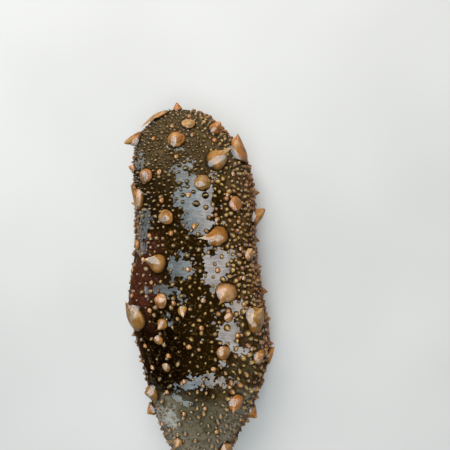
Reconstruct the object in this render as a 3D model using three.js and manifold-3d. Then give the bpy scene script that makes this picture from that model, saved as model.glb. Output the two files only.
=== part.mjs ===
// A life-size sea cucumber of the spiky Japanese kind, resting on its sole.
// Millimetres, +Z up. The head end points to +Y and the tail end to -Y.
import * as THREE from "three";
import { mergeVertices } from "three/addons/utils/BufferGeometryUtils.js";
import Module from "manifold-3d";

const wasm = await Module();
wasm.setup();

// Driving dimensions of the body
const bodyLength = 198;
const frontHalfWidth = 31.3;
const rearHalfWidth = 35.6;
const backHeight = 50;
const soleHeight = 2;
const noseHeight = 18;
const tailTipHeight = 15;

// How far the rounded ends run along the body
const headRoundWide = 41;
const headRoundBack = 60;
const headRoundSole = 32;
const tailTaperWide = 84;
const tailTaperBack = 94;
const tailRoundSole = 34;

// The front bends to the left and the rear bulges to the right, seen from above
const headBend = -7;
const rearBend = 4.6;
const tailBend = -2.2;

// The section is widest a little below its middle, round above and flat below
const widestLevel = 0.42;
const upperRoundness = 2 / 2.15;
const lowerRoundness = 2 / 3.3;

// The middle of the whole outline, papillae included, which becomes X = 0 and Y = 0
const middleAcross = 2.3;
const middleAlong = 98.2;

// Where the body is divided, as distances from the head tip
const cutGap = 0.3;
const cuts = [34, 86, 115, 160];
const soleSplit = 97;
const soleTop = 6;

// Facets of the body
const sidesAround = 32;
const stationsAlong = 36;

// Papillae: the radius and height of each size, how round it is, and the facets it gets
const sizes = {
  great: { radius: 5.2, height: 9.5, fullness: 1.35, taper: 1.35, sides: 9, rings: 5 },
  broad: { radius: 6.4, height: 8.6, fullness: 1.7, taper: 1.1, sides: 9, rings: 5 },
  large: { radius: 4.4, height: 7.5, fullness: 1.6, taper: 1.1, sides: 8, rings: 5 },
  knob: { radius: 3.9, height: 6, fullness: 2.4, taper: 0.7, sides: 8, rings: 4 },
  middle: { radius: 3.4, height: 4.7, fullness: 2, taper: 0.95, sides: 7, rings: 4 },
  small: { radius: 2.4, height: 3, fullness: 1.8, taper: 0.95, sides: 6, rings: 3 },
  flank: { radius: 2.7, height: 5.2, fullness: 1.5, taper: 1.1, sides: 6, rings: 3 },
  wart: { radius: 1.3, height: 1.2, fullness: 1.8, taper: 0.9, sides: 5, rings: 2 },
};
const rootShare = 0.6;
const leanCurve = 1.6;

// Rows of papillae low on the flanks, and the warts between the papillae
const flankRow = { first: 20, last: 184, spacing: 14, scatter: 5, side: 103, sideScatter: 9, lean: 2 };
const wartField = { tries: 1400, first: 4, last: 192, side: 98, room: 11, roomByPapilla: 2.5 };

// Tube feet under the sole
const footRadius = 1.2;
const footDiscRadius = 1.8;
const footRoot = 2.2;
const footSides = 6;
const footSpacing = 8;
const footBands = [-17, 0, 17];
const footRowsInBand = [-2.8, 2.8];
const footScatter = 0.8;
const firstFoot = 24;
const lastFoot = 178;

// Mouth and vent
const mouth = { along: 10, radius: 8, depth: 3.2, pit: 2.6, folds: 20, foldDepth: 0.35 };
const vent = { radius: 3.4, depth: 2.6, pit: 1.7, folds: 10, foldDepth: 0.2 };
const ventTilt = 0.25;
const ventSetIn = 0.8;

// How far a papilla can reach over a cut, and room round the body for the boxes that divide it
const papillaReach = 16;
const roomAround = 30;

// Skin colours and finish
const backColour = 0x453520;
const headColour = 0x5f4e38;
const tailColour = 0x59503d;
const soleColour = 0x8d6b45;
const lipColour = 0x7b5a3b;
const wetRoughness = 0.35;

function between(value, low, high) {
  return Math.min(Math.max(value, low), high);
}

function smooth(start, end, value) {
  const t = between((value - start) / (end - start), 0, 1);
  return t * t * (3 - 2 * t);
}

// A quarter ellipse that rises from 0 to 1
function roundedEnd(t) {
  const rest = 1 - between(t, 0, 1);
  return Math.sqrt(1 - rest * rest);
}

// A long taper with a blunt tip, which rises from 0 to 1
function taperedEnd(t) {
  const rest = 1 - between(t, 0, 1);
  return Math.pow(1 - Math.pow(rest, 1.5), 0.62);
}

function halfWidth(along) {
  const full = frontHalfWidth + (rearHalfWidth - frontHalfWidth) * smooth(68, 106, along);
  return full * roundedEnd(along / headRoundWide) * taperedEnd((bodyLength - along) / tailTaperWide);
}

function centreLine(along) {
  const front = headBend * (1 - smooth(0, 52, along));
  const rear = rearBend * smooth(95, 135, along);
  return front + rear + tailBend * smooth(140, 190, along);
}

function topHeight(along) {
  const rise = (backHeight - noseHeight) * roundedEnd(along / headRoundBack);
  const fall = (backHeight - tailTipHeight) * (1 - taperedEnd((bodyLength - along) / tailTaperBack));
  return noseHeight + rise - fall;
}

function bottomHeight(along) {
  const nose = (noseHeight - soleHeight) * (1 - roundedEnd(along / headRoundSole));
  const tail = (tailTipHeight - soleHeight) * (1 - roundedEnd((bodyLength - along) / tailRoundSole));
  return soleHeight + nose + tail;
}

function signedPower(value, power) {
  return Math.sign(value) * Math.pow(Math.abs(value), power);
}

// A point of the skin: the angle is 0 along the back, positive to the right, 180 degrees on the sole
function skinPoint(along, angle) {
  const up = Math.cos(angle);
  const roundness = up >= 0 ? upperRoundness : lowerRoundness;
  const bottom = bottomHeight(along);
  const top = topHeight(along);
  const level = bottom + (top - bottom) * widestLevel;
  const reach = up >= 0 ? top - level : level - bottom;
  const across = centreLine(along) + halfWidth(along) * signedPower(Math.sin(angle), roundness);
  const height = level + reach * signedPower(up, roundness);
  return new THREE.Vector3(across - middleAcross, middleAlong - along, height);
}

function skinNormal(along, angle) {
  const step = 0.01;
  const alongStep = skinPoint(along + step, angle).sub(skinPoint(along - step, angle));
  const angleStep = skinPoint(along, angle + step).sub(skinPoint(along, angle - step));
  return alongStep.cross(angleStep).normalize();
}

// A closed three.js geometry as a solid that can be joined and cut
function solidOf(geometry) {
  const bare = geometry.clone();
  bare.deleteAttribute("normal");
  bare.deleteAttribute("uv");
  const merged = mergeVertices(bare, 1e-5);
  const vertProperties = Float32Array.from(merged.attributes.position.array);
  const triVerts = Uint32Array.from(merged.index.array);
  return new wasm.Manifold(new wasm.Mesh({ numProp: 3, vertProperties, triVerts }));
}

// Moves every vertex of a geometry by a function of its place
function reshape(geometry, move) {
  const place = geometry.attributes.position;
  const point = new THREE.Vector3();
  for (let i = 0; i < place.count; i += 1) {
    point.fromBufferAttribute(place, i);
    const moved = move(point);
    place.setXYZ(i, moved.x, moved.y, moved.z);
  }
  return geometry;
}

// The body is a sphere drawn out over the skin, with its poles at the head and tail tips
function bodySolid() {
  const sphere = new THREE.SphereGeometry(1, sidesAround, stationsAlong);
  const onSkin = (point) => {
    const along = bodyLength * (1 - between(point.y, -1, 1)) / 2;
    return skinPoint(along, Math.atan2(point.x, point.z));
  };
  return solidOf(reshape(sphere, onSkin));
}

// A cone with a wide foot, bent toward its lean
function papillaSolid({ along, side, size, lean }, grow = 0) {
  const { radius, height, fullness, taper, sides, rings } = sizes[size];
  const angle = THREE.MathUtils.degToRad(side);
  const root = radius * rootShare + grow;
  const base = skinPoint(along, angle);
  const axis = skinNormal(along, angle);
  const level = new THREE.Vector3(0, 0, 1).cross(axis).normalize();
  const turn = new THREE.Matrix4().makeBasis(level, axis, level.clone().cross(axis));
  const bend = new THREE.Vector3(lean[0], -lean[1], 0);
  const cone = new THREE.ConeGeometry(1, 1, sides, rings);
  const onCone = (point) => {
    const rise = -root + (height + grow + root) * (point.y + 0.5);
    const share = between(rise / height, 0, 1);
    const spread = radius * Math.pow(1 - Math.pow(share, fullness), taper);
    const isTip = point.y > 0.499;
    const ring = new THREE.Vector3(point.x, 0, point.z);
    ring.setLength(ring.length() < 1e-6 || isTip ? 0 : spread + grow);
    ring.setY(rise);
    ring.applyMatrix4(turn);
    return ring.add(base).addScaledVector(bend, Math.pow(share, leanCurve));
  };
  return solidOf(reshape(cone, onCone));
}

// Papillae of the back and flanks: place along, side angle, size, and lean to the right and back
const backPapillae = [
  { along: 2, side: -12, size: "small", lean: [0, -1] },
  { along: 5, side: -42, size: "large", lean: [-8, 14] },
  { along: 12, side: 8, size: "middle", lean: [0, 3] },
  { along: 14, side: 41, size: "middle", lean: [1, -1] },
  { along: 18, side: -66, size: "knob", lean: [-2, 4] },
  { along: 21, side: -6, size: "knob", lean: [0, 1] },
  { along: 25, side: 62, size: "broad", lean: [-7, -5] },
  { along: 31, side: 24, size: "great", lean: [5, -2] },
  { along: 33, side: -70, size: "small", lean: [0, -1] },
  { along: 38, side: -40, size: "middle", lean: [0, -1] },
  { along: 42, side: 9, size: "knob", lean: [-1, 0] },
  { along: 50, side: -55, size: "large", lean: [2, -8] },
  { along: 52, side: 39, size: "middle", lean: [-3, -3] },
  { along: 58, side: -22, size: "middle", lean: [2, 0] },
  { along: 58, side: 77, size: "knob", lean: [0, -4] },
  { along: 67, side: 22, size: "great", lean: [-13, 1] },
  { along: 72, side: -62, size: "small", lean: [1, -2] },
  { along: 77, side: 57, size: "middle", lean: [-2, -3] },
  { along: 80, side: -27, size: "large", lean: [-4, -2] },
  { along: 94, side: 26, size: "great", lean: [-7, 5] },
  { along: 98, side: -24, size: "middle", lean: [2, 0] },
  { along: 102, side: -7, size: "small", lean: [1, 3] },
  { along: 106, side: 25, size: "small", lean: [1, -1] },
  { along: 108, side: -51, size: "broad", lean: [1, -11] },
  { along: 109, side: -24, size: "small", lean: [-1, 2] },
  { along: 109, side: 51, size: "broad", lean: [-2, -7] },
  { along: 117, side: -30, size: "small", lean: [-1, -2] },
  { along: 123, side: 17, size: "middle", lean: [0, -4] },
  { along: 128, side: 53, size: "middle", lean: [-1, -3] },
  { along: 130, side: 80, size: "large", lean: [-4, -7] },
  { along: 131, side: -29, size: "small", lean: [0, -2] },
  { along: 146, side: -53, size: "large", lean: [1, -3] },
  { along: 149, side: 33, size: "large", lean: [-5, 1] },
  { along: 159, side: 74, size: "middle", lean: [-1, 2] },
  { along: 158, side: -74, size: "middle", lean: [1, 1] },
  { along: 172, side: -30, size: "small", lean: [0, 1] },
  { along: 176, side: 40, size: "middle", lean: [0, 2] },
  { along: 183, side: -66, size: "small", lean: [0, 2] },
  { along: 187, side: 8, size: "small", lean: [0, 2] },
];

// A repeatable run of numbers from 0 to 1
function randomRun(seed) {
  let state = seed;
  return () => {
    state = (state * 1664525 + 1013904223) % 4294967296;
    return state / 4294967296;
  };
}

// Two rows low on each flank, where the back meets the sole
function flankPapillae() {
  const next = randomRun(7);
  const row = flankRow;
  const found = [];
  for (const hand of [-1, 1]) {
    const shift = hand > 0 ? row.spacing / 2 : 0;
    for (let start = row.first; start < row.last; start += row.spacing) {
      const along = start + shift + row.scatter * next();
      const side = hand * (row.side + row.sideScatter * next());
      found.push({ along, side, size: "flank", lean: [0, row.lean * next()] });
    }
  }
  return found;
}

// Warts spread over the back and flanks, clear of the papillae and of each other
function wartsClearOf(papillae) {
  const next = randomRun(23);
  const taken = papillae.map((one) => ({
    place: skinPoint(one.along, THREE.MathUtils.degToRad(one.side)),
    room: sizes[one.size].radius + wartField.roomByPapilla,
  }));
  const found = [];
  for (let i = 0; i < wartField.tries; i += 1) {
    const along = wartField.first + (wartField.last - wartField.first) * next();
    const side = wartField.side * (2 * next() - 1);
    const place = skinPoint(along, THREE.MathUtils.degToRad(side));
    const clear = taken.every((other) => other.place.distanceTo(place) > other.room);
    if (clear) {
      taken.push({ place, room: wartField.room });
      found.push({ along, side, size: "wart", lean: [0, 0] });
    }
  }
  return found;
}

// Tube feet stand in three bands under the sole, on the floor level
function tubeFeet(start, end) {
  const next = randomRun(41);
  const feet = [];
  const keepIn = footDiscRadius + 2 * cutGap;
  for (const band of footBands) {
    footRowsInBand.forEach((row, index) => {
      const shift = index % 2 ? footSpacing / 2 : 0;
      for (let along = start + keepIn + shift; along < end - keepIn; along += footSpacing) {
        const spread = halfWidth(along) / rearHalfWidth;
        const across = (band + row) * spread + footScatter * (next() - 0.5);
        feet.push(footSolid(along, centreLine(along) + across));
      }
    });
  }
  return feet;
}

function footSolid(along, across) {
  const length = bottomHeight(along) + footRoot;
  const foot = new THREE.CylinderGeometry(footRadius, footDiscRadius, length, footSides);
  foot.rotateX(Math.PI / 2);
  foot.translate(across - middleAcross, middleAlong - along, length / 2);
  return solidOf(foot);
}

// A puckered ring with a pit in its middle, in its own frame with +Z outward
function puckeredRing({ radius, depth, pit, folds, foldDepth }, grow = 0) {
  const ring = new THREE.SphereGeometry(1, folds * 2, 6);
  ring.rotateX(Math.PI / 2);
  const onRing = (point) => {
    const share = Math.hypot(point.x, point.y);
    const turn = Math.atan2(point.y, point.x);
    const isFace = point.z > -1e-6;
    const dip = pit * (1 - smooth(0.1, 0.6, share));
    const pleat = foldDepth * Math.cos(folds * turn) * smooth(0.2, 0.6, share);
    const height = isFace ? -dip + (share < 0.99 ? pleat : 0) : -depth - grow;
    const reach = (radius + grow) / Math.max(share, 1e-6);
    const spread = isFace || share < 1e-6 ? radius + grow : reach * Math.min(share, 1);
    return new THREE.Vector3(point.x * spread, point.y * spread, height);
  };
  return reshape(ring, onRing);
}

// A plain socket that the ring fits in, open toward +Z
function ringSocket({ radius, depth }) {
  const reach = depth + 8;
  const socket = new THREE.CylinderGeometry(radius + cutGap, radius + cutGap, reach, 32);
  socket.rotateX(Math.PI / 2);
  socket.translate(0, 0, reach / 2 - depth - cutGap);
  return socket;
}

// Turns a piece made round +Z to face along the outward direction at its place
function facing(geometry, place, outward) {
  const turn = new THREE.Quaternion().setFromUnitVectors(new THREE.Vector3(0, 0, 1), outward);
  return geometry.applyQuaternion(turn).translate(place.x, place.y, place.z);
}

// A box across the whole body between two distances from the head tip
function slab(start, end, low, high) {
  const box = new THREE.BoxGeometry(2 * (rearHalfWidth + roomAround), end - start, high - low);
  box.translate(0, middleAlong - (start + end) / 2, (low + high) / 2);
  return solidOf(box);
}

function joined(solids) {
  return solids.reduce((sum, one) => sum.add(one));
}

// The largest closed surface, which drops loose scraps and sealed hollows
function largest(solid) {
  const pieces = solid.decompose();
  return pieces.reduce((best, one) => (one.volume() > best.volume() ? one : best));
}

function meshOf(name, solid, colour) {
  const { vertProperties, triVerts } = largest(solid).getMesh();
  const geometry = new THREE.BufferGeometry();
  geometry.setAttribute("position", new THREE.BufferAttribute(Float32Array.from(vertProperties), 3));
  geometry.setIndex(new THREE.BufferAttribute(Uint32Array.from(triVerts), 1));
  geometry.computeVertexNormals();
  const material = new THREE.MeshStandardMaterial({ color: colour, roughness: wetRoughness, metalness: 0 });
  const mesh = new THREE.Mesh(geometry, material);
  mesh.name = name;
  return mesh;
}

// Each length of the body with the papillae that grow from it
function bodyLengths() {
  const edges = [-roomAround, ...cuts, bodyLength + roomAround];
  const names = ["head_end", "trunk_front", "trunk_middle", "trunk_rear", "tail_end"];
  const colours = [headColour, backColour, backColour, backColour, tailColour];
  return names.map((name, index) => {
    const isEnd = index === 0 || index === names.length - 1;
    return {
      name,
      colour: colours[index],
      start: edges[index] + cutGap / 2,
      end: edges[index + 1] - cutGap / 2,
      middle: (edges[index] + edges[index + 1]) / 2,
      half: (edges[index + 1] - edges[index]) / 2,
      low: isEnd ? -roomAround : soleTop + cutGap,
      high: backHeight + roomAround,
    };
  });
}

function buildBody(group) {
  const body = bodySolid();
  const papillae = [...backPapillae, ...flankPapillae()];
  const growths = [...papillae, ...wartsClearOf(papillae)];
  const lengths = bodyLengths();
  const isOn = (length, one) => one.along > length.start && one.along <= length.end + cutGap;
  const isNear = (length, one) => Math.abs(one.along - length.middle) < length.half + papillaReach;
  const mouthPlace = skinPoint(mouth.along, Math.PI);
  const mouthOutward = skinNormal(mouth.along, Math.PI);
  const ventPlace = skinPoint(bodyLength, 0).add(new THREE.Vector3(0, ventSetIn, 0));
  const ventOutward = new THREE.Vector3(0, -1, ventTilt).normalize();
  for (const length of lengths) {
    const own = growths.filter((one) => isOn(length, one));
    const others = growths.filter((one) => !isOn(length, one));
    const near = others.filter((one) => isNear(length, one));
    let solid = body.intersect(slab(length.start, length.end, length.low, length.high));
    solid = joined([solid, ...own.map((one) => papillaSolid(one))]);
    if (near.length > 0) {
      solid = solid.subtract(joined(near.map((one) => papillaSolid(one, cutGap))));
    }
    if (length.name === "head_end") {
      solid = joined([solid, ...tubeFeet(firstFoot, length.end)]);
      solid = solid.subtract(solidOf(facing(ringSocket(mouth), mouthPlace, mouthOutward)));
    }
    if (length.name === "tail_end") {
      solid = joined([solid, ...tubeFeet(length.start, lastFoot)]);
      solid = solid.subtract(solidOf(facing(ringSocket(vent), ventPlace, ventOutward)));
    }
    group.add(meshOf(length.name, solid, length.colour));
  }
  const mouthSolid = solidOf(facing(puckeredRing(mouth), mouthPlace, mouthOutward));
  group.add(meshOf("mouth", mouthSolid, lipColour));
  const ventSolid = solidOf(facing(puckeredRing(vent), ventPlace, ventOutward));
  group.add(meshOf("vent", ventSolid, lipColour));
  return body;
}

// The flat sole between the two ends, in two lengths, with its tube feet
function buildSole(group, body) {
  const edges = [cuts[0], soleSplit, cuts[cuts.length - 1]];
  ["sole_front", "sole_rear"].forEach((name, index) => {
    const start = edges[index] + cutGap / 2;
    const end = edges[index + 1] - cutGap / 2;
    const plate = body.intersect(slab(start, end, -roomAround, soleTop));
    group.add(meshOf(name, joined([plate, ...tubeFeet(start, end)]), soleColour));
  });
}

const seaCucumber = new THREE.Group();
buildSole(seaCucumber, buildBody(seaCucumber));

export default seaCucumber;
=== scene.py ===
"""Dresses the sea cucumber: one wet skin, its papillae and pimples, tube feet, mouth and vent."""
import bpy
import math
import numpy as np
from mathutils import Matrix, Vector
from mathutils.kdtree import KDTree


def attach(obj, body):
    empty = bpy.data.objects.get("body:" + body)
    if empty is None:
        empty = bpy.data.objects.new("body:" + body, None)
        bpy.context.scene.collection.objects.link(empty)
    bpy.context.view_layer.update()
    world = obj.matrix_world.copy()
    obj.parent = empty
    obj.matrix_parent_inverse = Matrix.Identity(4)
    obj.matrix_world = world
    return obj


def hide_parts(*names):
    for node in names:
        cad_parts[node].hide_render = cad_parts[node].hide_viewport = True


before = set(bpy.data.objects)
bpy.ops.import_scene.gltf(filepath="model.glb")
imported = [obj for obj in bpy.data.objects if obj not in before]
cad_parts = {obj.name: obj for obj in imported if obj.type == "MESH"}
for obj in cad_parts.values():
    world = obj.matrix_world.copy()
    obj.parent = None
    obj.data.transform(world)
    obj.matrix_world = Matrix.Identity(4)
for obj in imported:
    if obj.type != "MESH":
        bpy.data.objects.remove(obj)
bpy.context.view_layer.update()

# Lengths of the body below are in millimetres, as in the solids, and become metres in each mesh
MM = 0.001

# Driving dimensions of the body
BODY_LENGTH = 198
FRONT_HALF_WIDTH = 31.3
REAR_HALF_WIDTH = 35.6
BACK_HEIGHT = 50
SOLE_HEIGHT = 2
NOSE_HEIGHT = 18
TAIL_TIP_HEIGHT = 15

# How far the rounded ends run along the body, and the form of the tail's taper
HEAD_ROUND_WIDE = 41
HEAD_ROUND_BACK = 60
HEAD_ROUND_SOLE = 32
TAIL_TAPER_WIDE = 84
TAIL_TAPER_BACK = 94
TAIL_ROUND_SOLE = 34
TAPER_CURVE = 1.5
TAPER_BLUNTNESS = 0.62

# The stretches over which the body widens, its head bends left, its rear right and its tail a little back
WIDENING = (68, 106)
HEAD_BEND, HEAD_BEND_STRETCH = -7, (0, 52)
REAR_BEND, REAR_BEND_STRETCH = 4.6, (95, 135)
TAIL_BEND, TAIL_BEND_STRETCH = -2.2, (140, 190)

# The section is widest a little below its middle, round above and flat below
WIDEST_LEVEL = 0.42
UPPER_ROUNDNESS = 2 / 2.15
LOWER_ROUNDNESS = 2 / 3.3

# The middle of the whole outline, papillae included, which becomes X = 0 and Y = 0
MIDDLE_ACROSS = 2.3
MIDDLE_ALONG = 98.2

# The skin's own grid, and how deep it lies under the solids so that its relief stays within them
SKIN_ALONG = 460
SKIN_AROUND = 420
SKIN_DEPTH = 0.25

# Steps for measuring which way the skin faces, in millimetres and in radians alike
NORMAL_STEP = 0.01
NORMAL_END_ROOM = 0.05

# Sizes of papillae: radius, height, fullness, taper, facets along and around, and how late they lean
SIZES = {
    "great": (5.2, 9.5, 1.35, 1.35, 40, 30),
    "broad": (6.4, 8.6, 1.7, 1.1, 40, 32),
    "large": (4.4, 7.5, 1.6, 1.1, 36, 28),
    "knob": (3.9, 6.0, 2.4, 0.7, 32, 24),
    "middle": (3.4, 4.7, 2.0, 0.95, 28, 20),
    "small": (2.4, 3.0, 1.8, 0.95, 22, 16),
    "flank": (2.7, 5.2, 1.5, 1.1, 22, 16),
    "wart": (1.3, 1.2, 1.8, 0.9, 14, 10),
}
LEAN_CURVE = 1.6

# Hues of the papillae: the place of each on one ramp, and its linear colour there
HUES = {
    "olive": (0.0, (0.148, 0.068, 0.009, 1)),
    "amber": (0.25, (0.190, 0.071, 0.008, 1)),
    "tan": (0.5, (0.205, 0.094, 0.020, 1)),
    "orange": (0.75, (0.222, 0.079, 0.012, 1)),
    "rust": (1.0, (0.085, 0.032, 0.008, 1)),
}
HUE_SPREAD = 0.1

# Rows of papillae low on the flanks, and the warts between the papillae, as in the solids
FLANK_FIRST, FLANK_LAST, FLANK_SPACING = 20, 184, 14
FLANK_SCATTER, FLANK_SIDE, FLANK_SIDE_SCATTER, FLANK_LEAN = 5, 103, 9, 2
WART_TRIES, WART_FIRST, WART_LAST = 1400, 4, 192
WART_SIDE, WART_ROOM, WART_ROOM_BY_PAPILLA = 98, 11, 2.5

# Papillae of the back and flanks: place along, side angle, size, lean to the right and back, and hue
BACK_PAPILLAE = [
    (2, -12, "small", 0, -1, "orange"),
    (5, -42, "large", -8, 14, "tan"),
    (12, 8, "middle", 0, 3, "tan"),
    (14, 41, "middle", 1, -1, "orange"),
    (18, -66, "knob", -2, 4, "tan"),
    (21, -6, "knob", 0, 1, "orange"),
    (25, 62, "broad", -7, -5, "orange"),
    (31, 24, "great", 5, -2, "tan"),
    (33, -70, "small", 0, -1, "orange"),
    (38, -40, "middle", 0, -1, "orange"),
    (42, 9, "knob", -1, 0, "tan"),
    (50, -55, "large", 2, -8, "tan"),
    (52, 39, "middle", -3, -3, "orange"),
    (58, -22, "middle", 2, 0, "tan"),
    (58, 77, "knob", 0, -4, "orange"),
    (67, 22, "great", -13, 1, "amber"),
    (72, -62, "small", 1, -2, "amber"),
    (77, 57, "middle", -2, -3, "tan"),
    (80, -27, "large", -4, -2, "amber"),
    (94, 26, "great", -7, 5, "amber"),
    (98, -24, "middle", 2, 0, "orange"),
    (102, -7, "small", 1, 3, "tan"),
    (106, 25, "small", 1, -1, "orange"),
    (108, -51, "broad", 1, -11, "olive"),
    (109, -24, "small", -1, 2, "amber"),
    (109, 51, "broad", -2, -7, "olive"),
    (117, -30, "small", -1, -2, "orange"),
    (123, 17, "middle", 0, -4, "orange"),
    (128, 53, "middle", -1, -3, "orange"),
    (130, 80, "large", -4, -7, "orange"),
    (131, -29, "small", 0, -2, "orange"),
    (146, -53, "large", 1, -3, "rust"),
    (149, 33, "large", -5, 1, "orange"),
    (159, 74, "middle", -1, 2, "orange"),
    (158, -74, "middle", 1, 1, "amber"),
    (172, -30, "small", 0, 1, "tan"),
    (176, 40, "middle", 0, 2, "tan"),
    (183, -66, "small", 0, 2, "tan"),
    (187, 8, "small", 0, 2, "tan"),
]


def smooth(start, end, value):
    t = np.clip((np.asarray(value, float) - start) / (end - start), 0, 1)
    return t * t * (3 - 2 * t)


def band(begins, ends, value):
    """1 between two soft edges, each given as the stretch that it takes, and 0 outside them."""
    return smooth(*begins, value) * (1 - smooth(*ends, value))


def rounded_end(t):
    """A quarter ellipse that rises from 0 to 1."""
    rest = 1 - np.clip(t, 0, 1)
    return np.sqrt(1 - rest * rest)


def tapered_end(t):
    """A long taper with a blunt tip, which rises from 0 to 1."""
    rest = 1 - np.clip(t, 0, 1)
    return (1 - rest ** TAPER_CURVE) ** TAPER_BLUNTNESS


def half_width(along):
    full = FRONT_HALF_WIDTH + (REAR_HALF_WIDTH - FRONT_HALF_WIDTH) * smooth(*WIDENING, along)
    tail = tapered_end((BODY_LENGTH - along) / TAIL_TAPER_WIDE)
    return full * rounded_end(along / HEAD_ROUND_WIDE) * tail


def centre_line(along):
    head = HEAD_BEND * (1 - smooth(*HEAD_BEND_STRETCH, along))
    rear = REAR_BEND * smooth(*REAR_BEND_STRETCH, along)
    return head + rear + TAIL_BEND * smooth(*TAIL_BEND_STRETCH, along)


def top_height(along):
    rise = (BACK_HEIGHT - NOSE_HEIGHT) * rounded_end(along / HEAD_ROUND_BACK)
    fall = (BACK_HEIGHT - TAIL_TIP_HEIGHT) * (1 - tapered_end((BODY_LENGTH - along) / TAIL_TAPER_BACK))
    return NOSE_HEIGHT + rise - fall


def bottom_height(along):
    nose = (NOSE_HEIGHT - SOLE_HEIGHT) * (1 - rounded_end(along / HEAD_ROUND_SOLE))
    tail = (TAIL_TIP_HEIGHT - SOLE_HEIGHT) * (1 - rounded_end((BODY_LENGTH - along) / TAIL_ROUND_SOLE))
    return SOLE_HEIGHT + nose + tail


def signed_power(value, power):
    return np.sign(value) * np.abs(value) ** power


def skin_point(along, angle):
    """Points of the plain skin: the angle is 0 along the back and positive to the right."""
    along, angle = np.broadcast_arrays(np.asarray(along, float), np.asarray(angle, float))
    up = np.cos(angle)
    roundness = np.where(up >= 0, UPPER_ROUNDNESS, LOWER_ROUNDNESS)
    bottom = bottom_height(along)
    top = top_height(along)
    level = bottom + (top - bottom) * WIDEST_LEVEL
    reach = np.where(up >= 0, top - level, level - bottom)
    across = centre_line(along) + half_width(along) * signed_power(np.sin(angle), roundness)
    height = level + reach * signed_power(up, roundness)
    return np.stack([across - MIDDLE_ACROSS, MIDDLE_ALONG - along, height], -1)


def unit(vectors):
    return vectors / np.maximum(np.linalg.norm(vectors, axis=-1, keepdims=True), 1e-9)


def skin_normal(along, angle):
    step = NORMAL_STEP
    near = np.clip(along, NORMAL_END_ROOM, BODY_LENGTH - NORMAL_END_ROOM)
    along_step = skin_point(near + step, angle) - skin_point(near - step, angle)
    angle_step = skin_point(near, angle + step) - skin_point(near, angle - step)
    return unit(np.cross(along_step, angle_step))


# Factors that scramble the corners of the noise lattice, and those of the repeatable run of numbers
CORNER_FACTORS = (73856093, 19349663, 83492791)
FIRST_MIX, SECOND_MIX, MIX_MASK = 2654435761, 2246822519, 0xFFFFFFFF
RUN_FACTOR, RUN_STEP, RUN_SPAN = 1664525, 1013904223, 4294967296


def lattice_noise(points, seed):
    """Smooth random values between -1 and 1, at points given in lattice steps."""
    cell = np.floor(points).astype(np.int64)
    t = points - cell
    t = t * t * (3 - 2 * t)
    total = np.zeros(points.shape[:-1])
    for corner in np.ndindex(2, 2, 2):
        at = (cell + np.array(corner)) * CORNER_FACTORS
        code = at[..., 0] ^ at[..., 1] ^ at[..., 2] ^ seed
        with np.errstate(over="ignore"):
            code = (code * FIRST_MIX) & MIX_MASK
            code = ((code ^ (code >> 15)) * SECOND_MIX) & MIX_MASK
        value = ((code >> 8) & 0xFFFF) / 32767.5 - 1
        total += value * np.prod(np.where(corner, t, 1 - t), axis=-1)
    return total


def random_run(seed):
    """The same repeatable run of numbers from 0 to 1 that places the solids' smaller forms."""
    state = seed
    while True:
        state = (state * RUN_FACTOR + RUN_STEP) % RUN_SPAN
        yield state / RUN_SPAN


def flank_papillae():
    """Two rows low on each flank, where the back meets the sole."""
    run = random_run(7)
    found = []
    for hand in (-1, 1):
        shift = FLANK_SPACING / 2 if hand > 0 else 0
        for start in range(FLANK_FIRST, FLANK_LAST, FLANK_SPACING):
            along = start + shift + FLANK_SCATTER * next(run)
            side = hand * (FLANK_SIDE + FLANK_SIDE_SCATTER * next(run))
            found.append((along, side, "flank", 0, FLANK_LEAN * next(run), "orange"))
    return found


def warts_clear_of(papillae):
    """Warts spread over the back and flanks, clear of the papillae and of each other."""
    run = random_run(23)
    places = [skin_point(one[0], math.radians(one[1])) for one in papillae]
    rooms = [SIZES[one[2]][0] + WART_ROOM_BY_PAPILLA for one in papillae]
    found = []
    for _ in range(WART_TRIES):
        along = WART_FIRST + (WART_LAST - WART_FIRST) * next(run)
        side = WART_SIDE * (2 * next(run) - 1)
        place = skin_point(along, math.radians(side))
        gaps = np.linalg.norm(np.array(places) - place, axis=1)
        if np.all(gaps > np.array(rooms)):
            places.append(place)
            rooms.append(WART_ROOM)
            found.append((along, side, "wart", 0, 0, "amber"))
    return found


PAPILLAE = BACK_PAPILLAE + flank_papillae()
GROWTHS = PAPILLAE + warts_clear_of(PAPILLAE)
GROWTH_ROOTS = np.array([skin_point(one[0], math.radians(one[1])) for one in GROWTHS])
GROWTH_RADII = np.array([SIZES[one[2]][0] for one in GROWTHS])

# Mouth and vent: the size of each ring, how deep its pit is, and the dip of the skin that holds it
MOUTH_ALONG = 10
MOUTH_RADIUS, MOUTH_PIT, MOUTH_FOLDS, MOUTH_FOLD_DEPTH, MOUTH_DIP = 8, 2.6, 20, 0.7, 3.4
VENT_RADIUS, VENT_PIT, VENT_FOLDS, VENT_FOLD_DEPTH, VENT_DIP = 3.4, 1.7, 10, 0.4, 2.4
VENT_SET_IN, VENT_TILT = 0.8, 0.25
MOUTH_PLACE = skin_point(MOUTH_ALONG, math.pi)
MOUTH_OUTWARD = skin_normal(MOUTH_ALONG, math.pi)
VENT_PLACE = skin_point(BODY_LENGTH, 0) + np.array([0, VENT_SET_IN, 0])
VENT_OUTWARD = unit(np.array([0, -1, VENT_TILT]))

# The skin's relief: its waves as height, length and seed, its swelling round each papilla by the
# papilla's radius, and the dips for the rings, whose edges and lips are placed by the ring's radius
RELIEF_WAVES = ((0.34, 15, 3), (0.2, 7, 5), (0.12, 3.1, 9), (0.05, 1.4, 13))
SWELLING_HEIGHT, SWELLING_REACH = 0.13, 1.7
DIP_EDGE = (0.8, 1.06)
LIP_HEIGHT, LIP_AT, LIP_WIDTH = 0.5, 1.25, 0.2


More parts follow.
